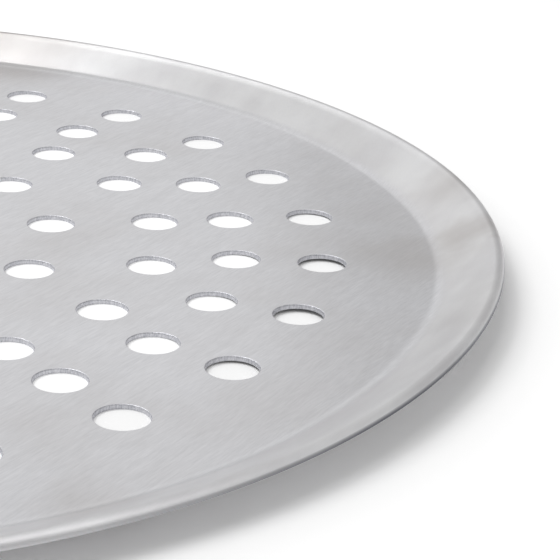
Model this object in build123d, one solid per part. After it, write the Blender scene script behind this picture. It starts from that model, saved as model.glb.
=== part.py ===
"""A perforated pizza pan: one round sheet of aluminium, punched with rings of holes and pressed up to a low sloping rim.

Millimetres. The pan stands on Z = 0 with its axis on Z, and one line of holes lies along +X.
"""
from math import asin, atan2, cos, hypot, pi, sin, tan
import os

from build123d import *

# Overall sizes of the pressed sheet
pan_diameter = 305.0
pan_height = 7.5
sheet_thickness = 1.0

# Rim: its width seen from above, the round where it leaves the base, and the round of the lip that turns over its edge
rim_width = 13.5
bend_inner_radius = 6.0
lip_inner_radius = 0.5

# Holes, and the round that the punch draws on their upper edges
hole_diameter = 10.5
hole_edge_radius = 0.25

# Rings of holes from the centre out, and each ring's radius as a share of the base's radius
hole_counts = (1, 6, 12, 18, 24, 24)
ring_radius_shares = (0, 0.198, 0.386, 0.556, 0.682, 0.817)

pan_radius = pan_diameter / 2
base_radius = pan_radius - rim_width
hole_radius = hole_diameter / 2
bend_outer_radius = bend_inner_radius + sheet_thickness
lip_outer_radius = lip_inner_radius + sheet_thickness
lip_centre = Vector(pan_radius - lip_outer_radius, pan_height - lip_outer_radius)


def rim_slope():
    """Angle of the rim's straight stretch: its upper face leaves the base at its edge and touches the lip's round."""
    across = lip_centre.X - base_radius
    up = lip_centre.Y - sheet_thickness
    return atan2(up, across) + asin(lip_outer_radius / hypot(across, up))


def arc(centre, radius, start, end):
    """An arc about a centre, between two angles in radians."""
    angles = (start, (start + end) / 2, end)
    return ThreePointArc(*(centre + Vector(radius * cos(angle), radius * sin(angle)) for angle in angles))


def half_section():
    """One half of the pan's section, from its axis to its lip, with the sheet's thickness kept through both rounds."""
    slope = rim_slope()
    bend_centre = Vector(base_radius - bend_inner_radius * tan(slope / 2), sheet_thickness + bend_inner_radius)
    under_bend = arc(bend_centre, bend_outer_radius, -pi / 2, slope - pi / 2)
    inside_lip = arc(lip_centre, lip_inner_radius, slope + pi / 2, 0)
    over_lip = arc(lip_centre, lip_outer_radius, 0, slope + pi / 2)
    over_bend = arc(bend_centre, bend_inner_radius, slope - pi / 2, -pi / 2)
    rounds = [under_bend, inside_lip, over_lip, over_bend]
    straights = [Line(before @ 1, after @ 0) for before, after in zip(rounds, rounds[1:])]
    base = Polyline(over_bend @ 1, Vector(0, sheet_thickness), Vector(0, 0), under_bend @ 0)
    return Plane.XZ * make_face(ShapeList(rounds + straights + [base]).edges())


def hole_places():
    """Where the holes stand, ring by ring, each ring with one of its holes on +X."""
    return [place for count, share in zip(hole_counts, ring_radius_shares)
            for place in PolarLocations(share * base_radius, count)]


def punched(sheet):
    """The sheet with its holes punched through the base from above, which rounds their upper edges."""
    punch = Pos(Z=sheet_thickness / 2) * Cylinder(hole_radius, 3 * sheet_thickness)
    sheet = sheet - [place * punch for place in hole_places()]
    floor = sheet.faces().filter_by(lambda face: face.geom_type == GeomType.PLANE and face.normal_at().Z > 0)[0]
    return fillet(floor.inner_wires().edges(), hole_edge_radius)


pan = punched(revolve(half_section(), Axis.Z))

os.makedirs("parts", exist_ok=True)
export_step(pan, "parts/pan.step")
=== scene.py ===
"""A perforated pizza pan of brushed sheet aluminium on a white table, seen from just above its rim."""
from math import asin, atan2, cos, hypot, pi, radians, sin, tan

import bpy
import numpy as np
from mathutils import Matrix, Vector
from mathutils.geometry import delaunay_2d_cdt


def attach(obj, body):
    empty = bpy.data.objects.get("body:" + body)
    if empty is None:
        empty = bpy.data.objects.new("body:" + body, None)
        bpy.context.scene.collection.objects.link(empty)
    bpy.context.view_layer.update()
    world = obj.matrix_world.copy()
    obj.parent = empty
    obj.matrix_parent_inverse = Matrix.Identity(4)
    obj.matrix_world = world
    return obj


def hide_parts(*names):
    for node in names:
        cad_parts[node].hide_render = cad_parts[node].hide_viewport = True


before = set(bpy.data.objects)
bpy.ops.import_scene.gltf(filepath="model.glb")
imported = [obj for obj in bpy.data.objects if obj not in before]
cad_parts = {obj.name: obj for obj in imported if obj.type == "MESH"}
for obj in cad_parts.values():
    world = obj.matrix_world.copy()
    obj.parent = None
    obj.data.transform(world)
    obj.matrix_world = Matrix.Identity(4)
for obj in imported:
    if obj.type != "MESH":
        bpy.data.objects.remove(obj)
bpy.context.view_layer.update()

# The pan.
# One round sheet of aluminium, punched with rings of holes and pressed to a low sloping rim whose edge turns
# down. It was brushed in straight strokes before it was cut, and pressing has left it a little out of flat.

# Sizes are in millimetres, which MM turns to metres.
MM = 0.001
PAN_RADIUS = 152.5
PAN_HEIGHT = 7.5
SHEET = 1.0
RIM_WIDTH = 13.5
BEND_RADIUS = 6.0
LIP_RADIUS = 0.5
HOLE_RADIUS = 5.25
HOLE_EDGE = 0.25
HOLE_COUNTS = (1, 6, 12, 18, 24, 24)
RING_RADIUS_SHARES = (0, 0.198, 0.386, 0.556, 0.682, 0.817)

# How finely the mesh is divided, from which angle an edge is sharp, and a distance that counts as none.
TURN_STEPS = 720
HOLE_STEPS = 64
BEND_STEPS = 8
SLOPE_STEPS = 6
LIP_STEPS = 12
EDGE_STEPS = 4
WALL_STEPS = 2
NET_STEP = 6.0
SHARP_ANGLE = radians(40)
NO_DISTANCE = 1e-7

# The sheet's two waves, each by its rise at the lip and the heading of a crest.
TWO_LOBES = (0.465, radians(0.2))
THREE_LOBES = (0.905, radians(-30.4))
HIGH_LOBE_START = 92.0
HIGH_LOBE_POWER = 0.75
LOW_LOBE_POWER = 1.5

# The finishes, by their place in the mesh's list of materials.
BRUSHED, SHEARED, MILL = range(3)

base_radius = PAN_RADIUS - RIM_WIDTH
lip_across = PAN_RADIUS - SHEET - LIP_RADIUS
lip_height = PAN_HEIGHT - SHEET - LIP_RADIUS
rim_slope = (atan2(lip_height - SHEET, lip_across - base_radius)
             + asin((LIP_RADIUS + SHEET) / hypot(lip_across - base_radius, lip_height - SHEET)))
flat_radius = base_radius - BEND_RADIUS * tan(rim_slope / 2)


def arc(across, height, radius, start, end, steps):
    """Points (distance from the axis, height) on a circle about a centre, at even angles from start to end.

    A point is the centre plus the radius times the angle's cosine and sine.
    """
    angles = np.linspace(start, end, steps + 1)
    return np.stack([across + radius * np.cos(angles), height + radius * np.sin(angles)], 1)


def rim_section():
    """The rim's outline from the base's upper edge, over bend, slope and lip, and back to its lower edge.

    Bend and lip are two arcs each about one centre, a sheet's thickness apart. Straight runs join them.
    """
    over_bend = arc(flat_radius, SHEET + BEND_RADIUS, BEND_RADIUS, -pi / 2, rim_slope - pi / 2, BEND_STEPS)
    over_lip = arc(lip_across, lip_height, LIP_RADIUS + SHEET, rim_slope + pi / 2, 0, LIP_STEPS)
    in_lip = arc(lip_across, lip_height, LIP_RADIUS, 0, rim_slope + pi / 2, LIP_STEPS)
    under_bend = arc(flat_radius, SHEET + BEND_RADIUS, BEND_RADIUS + SHEET, rim_slope - pi / 2, -pi / 2,
                     BEND_STEPS)
    up = np.linspace(over_bend[-1], over_lip[0], SLOPE_STEPS + 1)[1:-1]
    down = np.linspace(in_lip[-1], under_bend[0], SLOPE_STEPS + 1)[1:-1]
    return np.concatenate([over_bend, up, over_lip, in_lip, down, under_bend])


def ring_of(section):
    """Turns a section about the Z axis: a grid of (section point, step round the turn), as x, y, z.

    A point's x and y are its distance from the axis times the turn's cosine and sine, and z is its height.
    """
    turn = np.linspace(0, 2 * pi, TURN_STEPS, endpoint=False)
    across, height = section[:, :1], section[:, 1:]
    return np.stack([across * np.cos(turn), across * np.sin(turn), height + 0 * turn], -1)


def hole_places():
    """The centres of the holes, ring by ring from the middle out, at even angles from +X."""
    turns = [np.linspace(0, 2 * pi, count, endpoint=False) for count in HOLE_COUNTS]
    return np.concatenate([share * base_radius * np.stack([np.cos(turn), np.sin(turn)], 1)
                           for turn, share in zip(turns, RING_RADIUS_SHARES)])


def holes_of(section):
    """Turns a section about every hole's centre: a grid of (hole, section point, step round it), as x, y, z.

    Each circle's radius is the section point's distance from the hole's axis, and its height is the point's.
    """
    turn = np.linspace(0, 2 * pi, HOLE_STEPS, endpoint=False)
    circle = np.stack([np.cos(turn), np.sin(turn)], -1)
    plan = hole_places()[:, None, None, :] + section[None, :, None, :1] * circle
    height = np.broadcast_to(section[None, :, None, 1:], plan.shape[:3] + (1,))
    return np.concatenate([plan, height], -1)


def clear_of_holes(points, distance):
    """Which points lie farther than a distance from every hole's centre."""
    return np.hypot(*(points[:, None] - hole_places()[None]).transpose(2, 0, 1)).min(1) > distance


def net_points():
    """Points in even rows over the base, every second row half a step along, clear of edge and holes."""
    steps = np.arange(-base_radius, base_radius, NET_STEP)
    points = np.stack(np.meshgrid(steps, steps), -1).reshape(-1, 2)
    points[:, 0] += np.where(np.round(points[:, 1] / NET_STEP) % 2, NET_STEP / 2, 0)
    inside = np.hypot(*points.T) < flat_radius - NET_STEP / 2
    return points[inside & clear_of_holes(points, HOLE_RADIUS + NET_STEP / 2)]


def base_triangles(plan):
    """Triangles between all points of the base, as even as they can be, with the holes left open.

    The plan has the base's edge first, then the edges of the holes, then the net.
    """
    loops = TURN_STEPS + np.arange(sum(HOLE_COUNTS) * HOLE_STEPS).reshape(-1, HOLE_STEPS)
    edges = np.stack([loops, np.roll(loops, -1, axis=1)], -1).reshape(-1, 2)
    _, _, faces, sources, _, _ = delaunay_2d_cdt(plan.tolist(), edges.tolist(), [], 0, NO_DISTANCE)
    first = np.array([numbers[0] for numbers in sources])
    triangles = first[np.array(faces)]
    return triangles[clear_of_holes(plan[triangles].mean(1), HOLE_RADIUS + HOLE_EDGE)]


def quads(rows):
    """Faces between neighbouring rows of a grid of vertex numbers, each row closed on itself."""
    after = np.roll(rows, -1, axis=-1)
    corners = (rows[..., :-1, :], rows[..., 1:, :], after[..., 1:, :], after[..., :-1, :])
    return np.stack(corners, -1).reshape(-1, 4)


def lift(points):
    """The sheet's rise from flat: waves of two and three lobes round the turn, times a power of a sine.

    The sine goes from 0 where a lobe starts to 1 at the lip. The high lobes start inside the base, and the
    low ones at its edge, because the base rests on the table.
    """
    radius, heading = np.hypot(points[:, 0], points[:, 1]), np.arctan2(points[:, 1], points[:, 0])
    waves = ((2, TWO_LOBES), (3, THREE_LOBES))
    wave = sum(rise * np.cos(lobes * (heading - crest)) for lobes, (rise, crest) in waves)
    start = np.where(wave > 0, HIGH_LOBE_START, flat_radius)
    power = np.where(wave > 0, HIGH_LOBE_POWER, LOW_LOBE_POWER)
    outward = np.clip((radius - start) / (PAN_RADIUS - start), 0, 1)
    return wave * np.sin(pi / 2 * outward) ** power


def face_finishes(triangle_count):
    """The finish of every face: the base's two sides, the rim's rows of faces and each hole's rows.

    The rim has one row of cut faces, between the rows over it and the rows under it. A hole is cut from the
    second row of its rounded edge down.
    """
    rows_over = BEND_STEPS + SLOPE_STEPS + LIP_STEPS
    rim = np.full(2 * rows_over + 1, BRUSHED)
    rim[rows_over] = SHEARED
    hole = np.full(EDGE_STEPS + WALL_STEPS, SHEARED)
    hole[0] = BRUSHED
    holes = np.tile(np.repeat(hole, HOLE_STEPS), sum(HOLE_COUNTS))
    return np.concatenate([np.full(triangle_count, BRUSHED), np.full(triangle_count, MILL),
                           np.repeat(rim, TURN_STEPS), holes])


def pan_mesh():
    """The sheet's skin: nets of triangles over and under the base, and grids round the rim and every hole."""
    rim = ring_of(rim_section())
    rounded = arc(HOLE_RADIUS + HOLE_EDGE, SHEET - HOLE_EDGE, HOLE_EDGE, pi / 2, pi, EDGE_STEPS)
    wall = np.linspace((HOLE_RADIUS, SHEET - HOLE_EDGE), (HOLE_RADIUS, 0), WALL_STEPS + 1)[1:]
    holes = holes_of(np.concatenate([rounded, wall]))
    net = net_points()
    upper_net, lower_net = (np.c_[net, np.full(len(net), height)] for height in (SHEET, 0.0))
    points = np.concatenate([rim.reshape(-1, 3), holes.reshape(-1, 3), upper_net, lower_net])

    rim_number = np.arange(rim[..., 0].size).reshape(rim.shape[:2])
    hole_number = rim_number.size + np.arange(holes[..., 0].size).reshape(holes.shape[:3])
    net_number = rim_number.size + hole_number.size + np.arange(2 * len(net)).reshape(2, -1)
    upper = np.concatenate([rim_number[0], hole_number[:, 0].ravel(), net_number[0]])
    lower = np.concatenate([rim_number[-1], hole_number[:, -1].ravel(), net_number[1]])
    triangles = base_triangles(points[upper, :2])
    faces = [upper[triangles], lower[triangles][:, ::-1], quads(rim_number), quads(hole_number)[:, ::-1]]

    points[:, 2] += lift(points)
    mesh = bpy.data.meshes.new("pan_sheet")
    mesh.from_pydata((points * MM).tolist(), [], [face for group in faces for face in group.tolist()])
    mesh.polygons.foreach_set("material_index", face_finishes(len(triangles)).astype(np.int32))
    return mesh


def linear(hex_colour):
    """A colour written as sRGB hex, as the linear RGBA that a shader takes."""
    srgb = np.array([int(hex_colour[place:place + 2], 16) for place in (1, 3, 5)]) / 255
    rgb = np.where(srgb <= 0.04045, srgb / 12.92, ((srgb + 0.055) / 1.055) ** 2.4)
    return (*rgb.tolist(), 1.0)


def add(tree, kind, settings=None, **inputs):
    """Adds a node with its settings. Each input, by its name or as _number, is a value or a socket to link.

    The Mix node's names repeat: 0 is its share, 2 and 3 are its numbers, and 6 and 7 are its colours.
    """
    node = tree.nodes.new(kind)
    for name, value in (settings or {}).items():
        setattr(node, name, value)
    for name, value in inputs.items():
        socket = node.inputs[int(name[1:]) if name[0] == "_" else name.replace("_", " ")]
        if isinstance(value, bpy.types.NodeSocket):
            tree.links.new(value, socket)
        else:
            socket.default_value = value
    return node


def empty_material(name):
    """A material without nodes, and its node tree."""
    material = bpy.data.materials.new(name)
    material.use_nodes = True
    material.node_tree.nodes.clear()
    return material, material.node_tree


# The brush's strokes run one way over the sheet, in faint broader bands, and stretch its shine across them.
# Real strokes are about a tenth of a millimetre wide, and these are drawn coarser so that they show.
BRIGHT_METAL = "#F9F9FC"
DULL_METAL = "#E8E8EB"
GRAIN_DIRECTION = radians(47)
STROKE_LENGTH = 3.5
STROKE_WIDTH = 0.4
BAND_LENGTH = 40.0
BAND_WIDTH = 2.0
BAND_SHARE = 0.25
BRUSHED_ROUGHNESS = (0.28, 0.30)
SHINE_STRETCH = 0.7

# Clouds on the rim, where the press rubbed the strokes.
POLISHED = "#FFFFFF"
RUBBED = "#F1F0F1"
CLOUD_LENGTH = 24.0
CLOUD_WIDTH = 11.0
CLOUD_FADE = 2.0
CLOUD_STRENGTH = 0.75

# Faint brownish stains: even clouds of them all over, and a few listed spots by x, y, size and strength,
# whose edges are ragged by up to RAG each way. The spots are partly real smudges and partly painted shade,
# which dims the shine on the far rim near x 50, y 140 and on the base and rim toward +X.
STAIN_AND_SHADE = "#CEC9C6"
STAIN_SIZE = 38.0
STAIN_STRENGTH = 0.28
STAINS_AND_PAINTED_SHADE = ((129, -28, 26, 0.5), (144, -25, 14, 0.65), (46, -128, 15, 0.35), (130, 2, 20, 0.2),
          (50, 140, 44, 0.7), (148, 6, 18, 0.45))
RAG_SIZE = 14.0
RAG = 10.0

# Painted shade on the lip's outer round, dark along the +X side, and the sheet turns matt toward the lip.
PAINTED_LIP_SHADE = "#666873"
EDGE_STRENGTH = 0.9
EDGE_START, EDGE_FULL = 20.0, 100.0
EDGE_WIDTH = 0.25
MATT_START, MATT_FULL = 4.0, 1.0
MATT_ROUGHNESS = 0.4


def brush_noise(tree, place, length, width, **detail):
    """Noise drawn out along the brush's strokes, so many millimetres long and wide."""
    drawn = add(tree, "ShaderNodeMapping", {"vector_type": "TEXTURE"}, Vector=place,
                Rotation=(0, 0, GRAIN_DIRECTION), Scale=(length * MM, width * MM, width * MM)).outputs[0]
    return add(tree, "ShaderNodeTexNoise", Vector=drawn, Scale=1.0, **detail).outputs["Fac"]


def brushed_tone(tree, place, strokes):
    """Dull to bright grey, by the strokes and a share of the bands."""
    bands = brush_noise(tree, place, BAND_LENGTH, BAND_WIDTH, Detail=2.0)
    both = add(tree, "ShaderNodeMix", {"data_type": "FLOAT"}, _0=BAND_SHARE, _2=strokes, _3=bands).outputs[0]
    share = add(tree, "ShaderNodeMapRange", Value=both, From_Min=0.3, From_Max=0.7).outputs[0]
    return add(tree, "ShaderNodeMix", {"data_type": "RGBA"}, _0=share, _6=linear(DULL_METAL),
               _7=linear(BRIGHT_METAL)).outputs[2]


def cloudy_rim(tree, place, radius, tone):
    """The tone with the rim's clouds over it, which fade in just outside the base."""
    clouds = brush_noise(tree, place, CLOUD_LENGTH, CLOUD_WIDTH, Detail=2.5, Roughness=0.5)
    share = add(tree, "ShaderNodeMapRange", Value=clouds, From_Min=0.35, From_Max=0.65).outputs[0]
    rubbed = add(tree, "ShaderNodeMix", {"data_type": "RGBA"}, _0=share, _6=linear(RUBBED),
                 _7=linear(POLISHED)).outputs[2]
    share = add(tree, "ShaderNodeMapRange", Value=radius, From_Min=base_radius * MM,
                From_Max=(base_radius + CLOUD_FADE) * MM, To_Max=CLOUD_STRENGTH).outputs[0]
    return add(tree, "ShaderNodeMix", {"data_type": "RGBA"}, _0=share, _6=tone, _7=rubbed).outputs[2]


def stained_and_shaded(tree, place, flat, tone):
    """The tone with stain clouds and listed spots over it, the spots partly painted shade. Each spot is
    strongest at its centre and fades to none at its size.
    """
    rags = add(tree, "ShaderNodeTexNoise", Vector=place, Scale=1 / (RAG_SIZE * MM),
               Detail=3.0).outputs["Color"]
    ragged = add(tree, "ShaderNodeVectorMath", {"operation": "MULTIPLY_ADD"}, _0=rags,
                 _1=(2 * RAG * MM, 2 * RAG * MM, 0), _2=flat).outputs[0]
    clouds = add(tree, "ShaderNodeTexNoise", Vector=place, Scale=1 / (STAIN_SIZE * MM), Detail=4.0,
                 Roughness=0.55).outputs["Fac"]
    stain_and_shade = add(tree, "ShaderNodeMapRange", Value=clouds, From_Min=0.45, From_Max=0.75,
                To_Max=STAIN_STRENGTH).outputs[0]
    # The listed spots, partly real smudges and partly painted shade over the shine of rim and base.
    for x, y, size, strength in STAINS_AND_PAINTED_SHADE:
        gap = add(tree, "ShaderNodeVectorMath", {"operation": "DISTANCE"}, _0=ragged,
                  _1=((x + RAG) * MM, (y + RAG) * MM, 0)).outputs["Value"]
        here = add(tree, "ShaderNodeMapRange", {"interpolation_type": "SMOOTHSTEP"}, Value=gap,
                   From_Min=size * MM, From_Max=0.0, To_Max=strength).outputs[0]
        stain_and_shade = add(tree, "ShaderNodeMath", {"operation": "MAXIMUM"}, _0=stain_and_shade, _1=here).outputs[0]
    return add(tree, "ShaderNodeMix", {"data_type": "RGBA"}, _0=stain_and_shade, _6=tone, _7=linear(STAIN_AND_SHADE)).outputs[2]


def with_painted_lip_shade(tree, place, radius, tone):
    """The tone with painted shade on the lip's outermost quarter of a millimetre, darker toward +X."""
    sideways = add(tree, "ShaderNodeSeparateXYZ", Vector=place).outputs["X"]
    dark = add(tree, "ShaderNodeMapRange", Value=sideways, From_Min=EDGE_START * MM, From_Max=EDGE_FULL * MM,
               To_Max=EDGE_STRENGTH).outputs[0]
    share = add(tree, "ShaderNodeMapRange", Value=radius, From_Min=(PAN_RADIUS - EDGE_WIDTH) * MM,
                From_Max=PAN_RADIUS * MM, To_Max=dark).outputs[0]
    return add(tree, "ShaderNodeMix", {"data_type": "RGBA"}, _0=share, _6=tone,
               _7=linear(PAINTED_LIP_SHADE)).outputs[2]


def brushed_aluminium():
    """Brushed aluminium sheet, pressed: soft grey shine across fine straight strokes, cloudy on the rim."""
    material, tree = empty_material("brushed_aluminium")
    place = add(tree, "ShaderNodeTexCoord").outputs["Object"]
    flat = add(tree, "ShaderNodeVectorMath", {"operation": "MULTIPLY"}, _0=place, _1=(1, 1, 0)).outputs[0]
    radius = add(tree, "ShaderNodeVectorMath", {"operation": "LENGTH"}, _0=flat).outputs["Value"]
    strokes = brush_noise(tree, place, STROKE_LENGTH, STROKE_WIDTH, Detail=2.0, Roughness=0.6)
    tone = brushed_tone(tree, place, strokes)
    tone = cloudy_rim(tree, place, radius, tone)
    # Stains, with painted shade over the shine in a few listed spots.
    tone = stained_and_shaded(tree, place, flat, tone)
    # Painted shade on the lip's outer round, darker toward +X.
    tone = with_painted_lip_shade(tree, place, radius, tone)
    matt = add(tree, "ShaderNodeMapRange", Value=radius, From_Min=(PAN_RADIUS - MATT_START) * MM,
               From_Max=(PAN_RADIUS - MATT_FULL) * MM, To_Max=MATT_ROUGHNESS).outputs[0]
    rough = add(tree, "ShaderNodeMapRange", Value=strokes, From_Min=0.3, From_Max=0.7,
                To_Min=BRUSHED_ROUGHNESS[0], To_Max=BRUSHED_ROUGHNESS[1]).outputs[0]
    rough = add(tree, "ShaderNodeMath", {"operation": "ADD"}, _0=rough, _1=matt).outputs[0]
    across = add(tree, "ShaderNodeCombineXYZ", X=-sin(GRAIN_DIRECTION), Y=cos(GRAIN_DIRECTION)).outputs[0]
    shader = add(tree, "ShaderNodeBsdfPrincipled", Base_Color=tone, Metallic=1.0, Roughness=rough,
                 Anisotropic=SHINE_STRETCH, Tangent=across)
    add(tree, "ShaderNodeOutputMaterial", Surface=shader.outputs[0])
    return material


# The tears of the cut run up and down, drawn coarser than real ones so that they show.
CUT_BRIGHT = "#DCDCE0"
CUT_DARK = "#BCBDC3"
TEAR_WIDTH = 0.3
TEAR_HEIGHT = 1.2
CUT_ROUGHNESS = 0.5


def sheared_aluminium():
    """Sheared aluminium, where a punch or shear cut the sheet: pale grey, matt, finely torn up and down."""
    material, tree = empty_material("sheared_aluminium")
    place = add(tree, "ShaderNodeTexCoord").outputs["Object"]
    upright = add(tree, "ShaderNodeMapping", {"vector_type": "TEXTURE"}, Vector=place,
                  Scale=(TEAR_WIDTH * MM, TEAR_WIDTH * MM, TEAR_HEIGHT * MM)).outputs[0]
    tears = add(tree, "ShaderNodeTexNoise", Vector=upright, Scale=1.0, Detail=3.0,
                Roughness=0.6).outputs["Fac"]
    share = add(tree, "ShaderNodeMapRange", Value=tears, From_Min=0.35, From_Max=0.65).outputs[0]
    tone = add(tree, "ShaderNodeMix", {"data_type": "RGBA"}, _0=share, _6=linear(CUT_DARK),
               _7=linear(CUT_BRIGHT)).outputs[2]
    shader = add(tree, "ShaderNodeBsdfPrincipled", Base_Color=tone, Metallic=1.0, Roughness=CUT_ROUGHNESS)
    add(tree, "ShaderNodeOutputMaterial", Surface=shader.outputs[0])
    return material


# The rolls' long soft lines run with the brush's strokes, with a share of clouds.
MILL_BRIGHT = "#808186"
MILL_DARK = "#606166"
ROLL_LENGTH = 70.0
ROLL_WIDTH = 1.6
MILL_CLOUD = 30.0
MILL_CLOUD_SHARE = 0.45
MILL_ROUGHNESS = (0.55, 0.42)


def mill_aluminium():
    """Mill-finish aluminium, the lower face as it left the rolls: dull mid grey with long soft lines."""
    material, tree = empty_material("mill_aluminium")
    place = add(tree, "ShaderNodeTexCoord").outputs["Object"]
    lines = brush_noise(tree, place, ROLL_LENGTH, ROLL_WIDTH, Detail=3.0, Roughness=0.6)
    clouds = add(tree, "ShaderNodeTexNoise", Vector=place, Scale=1 / (MILL_CLOUD * MM),
                 Detail=3.0).outputs["Fac"]
    both = add(tree, "ShaderNodeMix", {"data_type": "FLOAT"}, _0=MILL_CLOUD_SHARE, _2=lines,
               _3=clouds).outputs[0]
    share = add(tree, "ShaderNodeMapRange", Value=both, From_Min=0.3, From_Max=0.7).outputs[0]
    tone = add(tree, "ShaderNodeMix", {"data_type": "RGBA"}, _0=share, _6=linear(MILL_DARK),
               _7=linear(MILL_BRIGHT)).outputs[2]
    rough = add(tree, "ShaderNodeMapRange", Value=both, From_Min=0.3, From_Max=0.7, To_Min=MILL_ROUGHNESS[0],
                To_Max=MILL_ROUGHNESS[1]).outputs[0]
    shader = add(tree, "ShaderNodeBsdfPrincipled", Base_Color=tone, Metallic=1.0, Roughness=rough)
    add(tree, "ShaderNodeOutputMaterial", Surface=shader.outputs[0])
    return material


mesh = pan_mesh()
mesh.materials.append(brushed_aluminium())
mesh.materials.append(sheared_aluminium())
mesh.materials.append(mill_aluminium())
mesh.polygons.foreach_set("use_smooth", np.ones(len(mesh.polygons), bool))
mesh.set_sharp_from_angle(angle=SHARP_ANGLE)
sheet = bpy.data.objects.new("pan_sheet", mesh)
bpy.context.scene.collection.objects.link(sheet)
sheet.modifiers.new("even_shading", "WEIGHTED_NORMAL").keep_sharp = True
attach(sheet, "root")
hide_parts("pan")

# The table.
# A wide flat top of matt white laminate, which the pan's base rests on. It isn't part of the object, and only
# its upper face is drawn.

# Half the table's side is in metres, a glow is a strength, and the other two sizes are in millimetres.
TABLE_HALF = 3.0
TABLE_WHITE = "#FFFFFF"
GLOW_IN_SHADOW = 0.02
GLOW_IN_LIGHT = 0.12
SHADOW_START = 110.0
GLOW_FADE = 14.0


def white_table():
    """White laminate: an even matt white that takes a soft shadow.

    The camera, mirrors and glass see it glow a little, so that it is white where no shadow falls. The glow
    is faint in a ring from the shadow's start to the lip, and grows beyond both sides of that ring.
    """
    material, tree = empty_material("white_table")
    white = add(tree, "ShaderNodeBsdfDiffuse", Color=linear(TABLE_WHITE)).outputs[0]
    rays = add(tree, "ShaderNodeLightPath").outputs
    seen = add(tree, "ShaderNodeMath", {"operation": "MAXIMUM"}, _0=rays["Is Camera Ray"],
               _1=rays["Is Glossy Ray"]).outputs[0]
    seen = add(tree, "ShaderNodeMath", {"operation": "MAXIMUM"}, _0=seen,
               _1=rays["Is Transmission Ray"]).outputs[0]
    place = add(tree, "ShaderNodeTexCoord").outputs["Object"]
    away = add(tree, "ShaderNodeVectorMath", {"operation": "LENGTH"}, _0=place).outputs["Value"]
    middle, half = (PAN_RADIUS + SHADOW_START) / 2, (PAN_RADIUS - SHADOW_START) / 2
    away = add(tree, "ShaderNodeMath", {"operation": "SUBTRACT"}, _0=away, _1=middle * MM).outputs[0]
    away = add(tree, "ShaderNodeMath", {"operation": "ABSOLUTE"}, _0=away).outputs[0]
    glow = add(tree, "ShaderNodeMapRange", Value=away, From_Min=half * MM, From_Max=(half + GLOW_FADE) * MM,
               To_Min=GLOW_IN_SHADOW, To_Max=GLOW_IN_LIGHT).outputs[0]
    glow = add(tree, "ShaderNodeMath", {"operation": "MULTIPLY"}, _0=seen, _1=glow).outputs[0]
    glow = add(tree, "ShaderNodeEmission", Strength=glow).outputs[0]
    both = add(tree, "ShaderNodeAddShader", _0=white, _1=glow).outputs[0]
    add(tree, "ShaderNodeOutputMaterial", Surface=both)
    return material


table_mesh = bpy.data.meshes.new("table_top")
table_corners = [(x * TABLE_HALF, y * TABLE_HALF, 0) for x, y in ((-1, -1), (1, -1), (1, 1), (-1, 1))]
table_mesh.from_pydata(table_corners, [], [(0, 1, 2, 3)])
table_mesh.materials.append(white_table())
table_top = bpy.data.objects.new("table_top", table_mesh)
bpy.context.scene.collection.objects.link(table_top)

# The studio's light.
# A pale room that is brighter high at the back left, two soft square lamps overhead and high at the back
# left, and a weak one low behind. Lamps and room are plain white.

ROOM_DIM = 0.445
ROOM_BRIGHT = 0.61
BRIGHT_SIDE = (-0.5, 0.5, 0.707)
LAMP_DISTANCE = 0.9

world = bpy.data.worlds.new("studio")
bpy.context.scene.world = world
world.use_nodes = True
tree = world.node_tree
tree.nodes.clear()
way = add(tree, "ShaderNodeTexCoord").outputs["Generated"]
side = add(tree, "ShaderNodeVectorMath", {"operation": "DOT_PRODUCT"}, _0=way,
           _1=BRIGHT_SIDE).outputs["Value"]
light = add(tree, "ShaderNodeMapRange", Value=side, To_Min=ROOM_DIM, To_Max=ROOM_BRIGHT).outputs[0]
sky = add(tree, "ShaderNodeBackground", Color=(1, 1, 1, 1), Strength=light).outputs[0]
add(tree, "ShaderNodeOutputWorld", Surface=sky)


def soft_lamp(name, heading, height, side, radiance):
    """A flat square lamp that faces the pan's middle, from a heading and a height angle in degrees.

    Its side is in metres, and its power is its radiance times pi times its area.
    """
    light = bpy.data.lights.new(name, "AREA")
    light.size = side
    light.energy = radiance * pi * side * side
    lamp = bpy.data.objects.new(name, light)
    level, up = cos(radians(height)), sin(radians(height))
    toward = Vector((level * cos(radians(heading)), level * sin(radians(heading)), up))
    facing = toward.to_track_quat("Z", "Y").to_matrix().to_4x4()
    lamp.matrix_world = Matrix.Translation(toward * LAMP_DISTANCE) @ facing
    bpy.context.scene.collection.objects.link(lamp)


soft_lamp("top_lamp", heading=143, height=82, side=0.5, radiance=1.85)
soft_lamp("left_lamp", heading=145, height=62, side=0.45, radiance=4.6)
soft_lamp("back_lamp", heading=81, height=24, side=0.35, radiance=0.21)

# The camera.
# It stands close over the rim and looks down across the pan, turned a little about its own axis. Its place
# is in millimetres and its focal length in pixels of the photograph, fitted to the holes, bend and lip.

CAMERA_PLACE = (13.13, -398.36, 151.95)
CAMERA_HEADING = radians(-13.324)
CAMERA_TILT = radians(22.107)
CAMERA_ROLL = radians(3.500)
FOCAL_PIXELS = 1881.6
PHOTO_PIXELS = 560
SENSOR_WIDTH = 36.0
NEAREST_SEEN = 10.0

lens = bpy.data.cameras.new("camera")
lens.sensor_width = SENSOR_WIDTH
lens.lens = SENSOR_WIDTH * FOCAL_PIXELS / PHOTO_PIXELS
lens.clip_start = NEAREST_SEEN * MM
camera = bpy.data.objects.new("camera", lens)
bpy.context.scene.collection.objects.link(camera)
camera.matrix_world = (Matrix.Translation(Vector(CAMERA_PLACE) * MM)
                       @ Matrix.Rotation(CAMERA_HEADING, 4, "Z")
                       @ Matrix.Rotation(pi / 2 - CAMERA_TILT, 4, "X")
                       @ Matrix.Rotation(CAMERA_ROLL, 4, "Z"))
bpy.context.scene.camera = camera

bpy.context.scene.view_settings.view_transform = "Standard"
